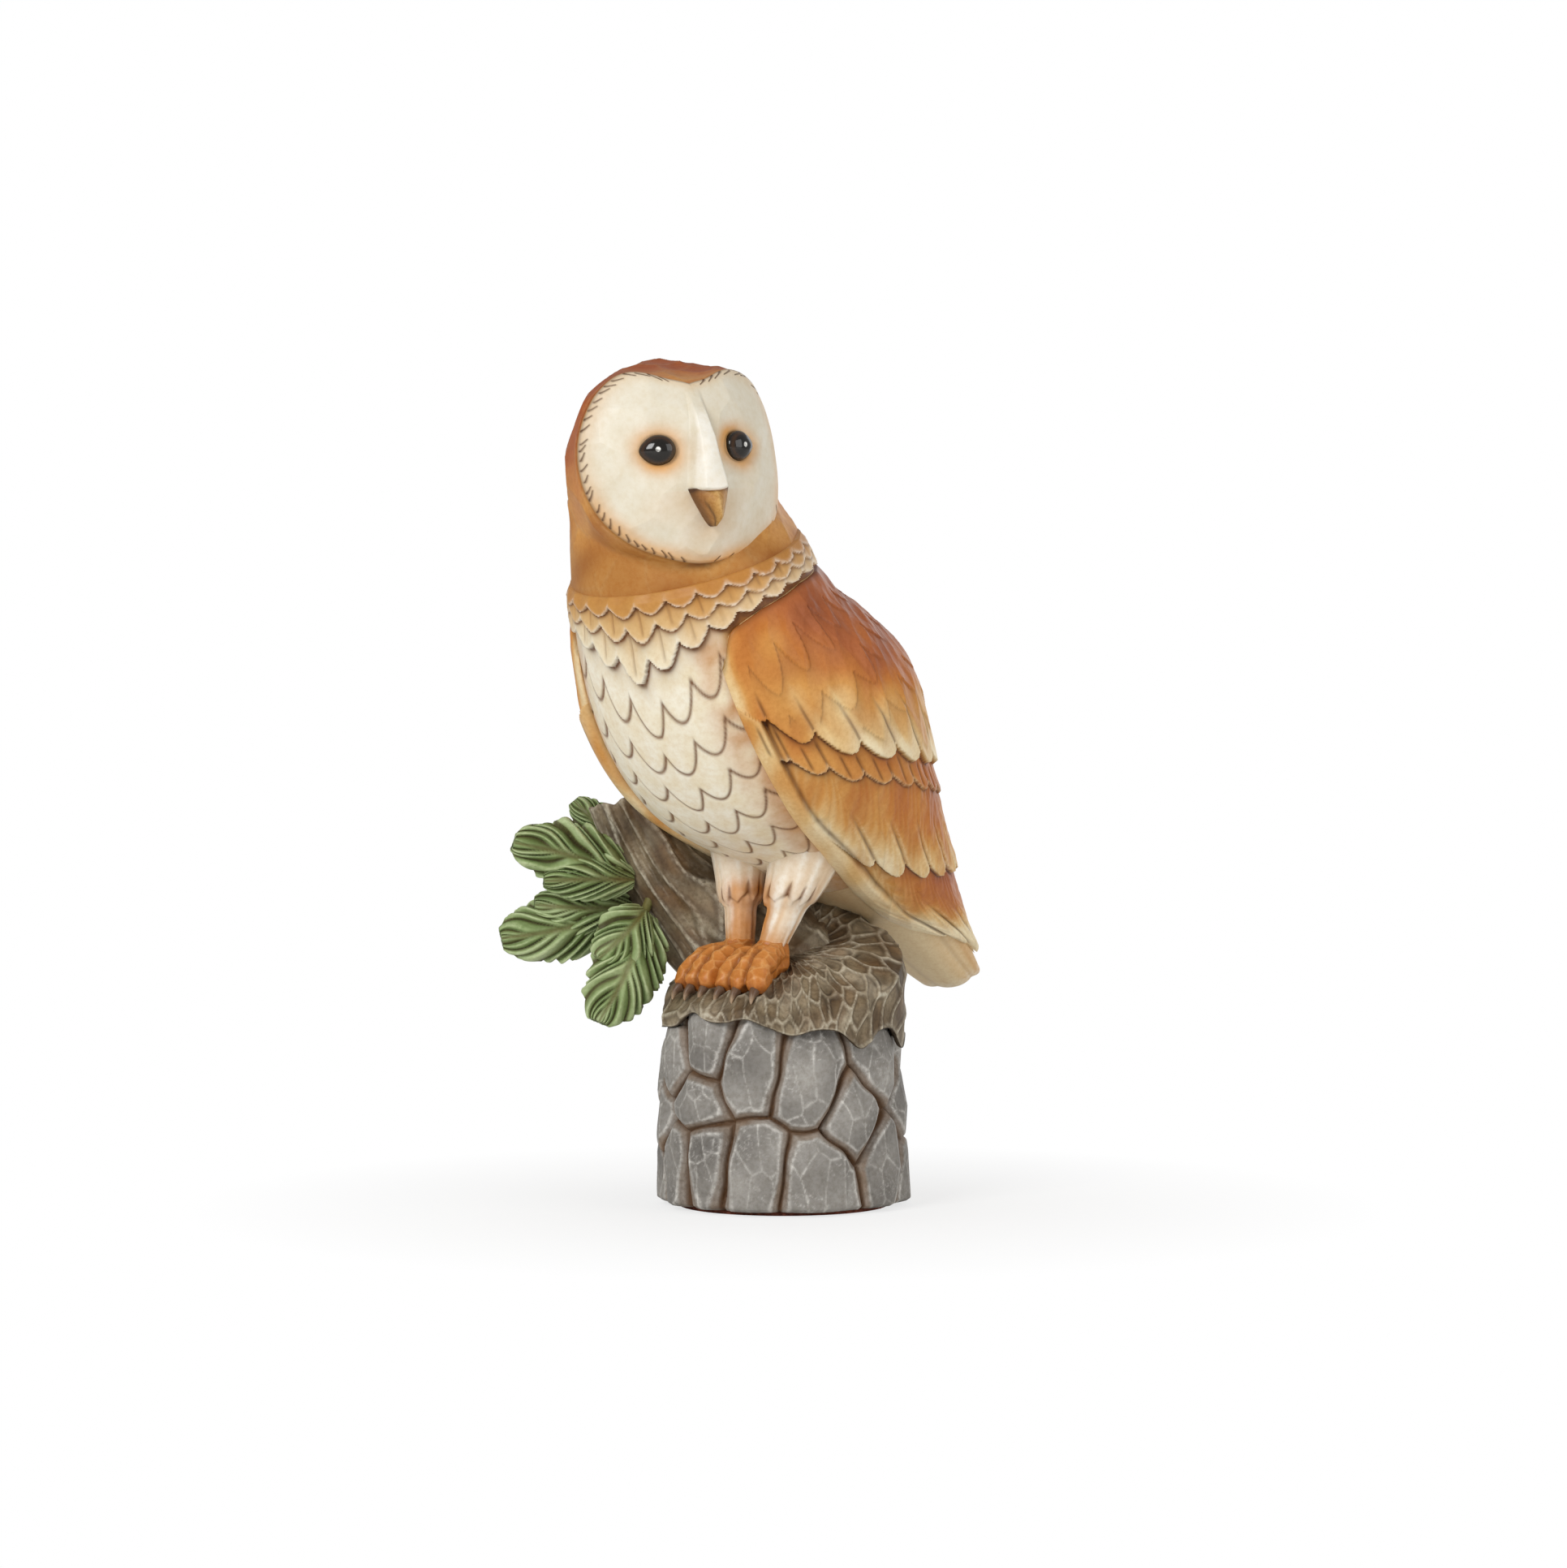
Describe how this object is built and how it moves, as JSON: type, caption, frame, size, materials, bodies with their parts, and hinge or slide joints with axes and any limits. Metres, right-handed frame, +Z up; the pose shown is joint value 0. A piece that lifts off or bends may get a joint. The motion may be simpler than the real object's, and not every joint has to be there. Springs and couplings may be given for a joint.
{
  "type": "owl figurine",
  "caption": "Hand-painted cast barn owl figurine perched on a bark stump with a broken limb and pine sprigs, on a round plinth of carved stones with a felt pad.",
  "frame": {"origin": "centre of the felt pad's underside, where the figurine stands", "axes": "+Z up, -Y towards the viewer of the picture, +X to that viewer's right"},
  "size_m": [0.1139, 0.1126, 0.1967],
  "materials": {
    "felt": "brushed felt",
    "stone": "hand-painted cast resin, stone grey",
    "bark": "hand-painted cast resin, bark brown",
    "needles": "hand-painted cast resin, pine green",
    "cream": "hand-painted cast resin, cream",
    "russet": "hand-painted cast resin, russet to cream",
    "ochre": "hand-painted cast resin, ochre",
    "orange": "hand-painted cast resin, orange",
    "horn": "hand-painted cast resin, horn",
    "bead": "gloss black",
    "steel": "plain",
    "dowel": "birch"
  },
  "bodies": {
    "root": {"base_pad": "felt", "stone_base": "stone", "left_base_dowel": "dowel", "right_base_dowel": "dowel", "stump_cap": "bark", "limb": "bark", "limb_dowel": "dowel", "sprig_top": "needles", "sprig_upper": "needles", "sprig_lower": "needles", "sprig_hanging": "needles", "sprig_back": "needles", "torso": "cream", "tail": "cream", "tail_peg": "dowel", "left_wing": "russet", "right_wing": "russet", "left_wing_peg": "dowel", "right_wing_peg": "dowel", "head": "ochre", "neck_dowel": "dowel", "face_disc": "cream", "beak": "horn", "left_eye": "bead", "right_eye": "bead", "left_leg": "cream", "right_leg": "cream", "left_foot": "orange", "right_foot": "orange", "left_leg_pin": "steel", "right_leg_pin": "steel"}
  },
  "joints": []
}
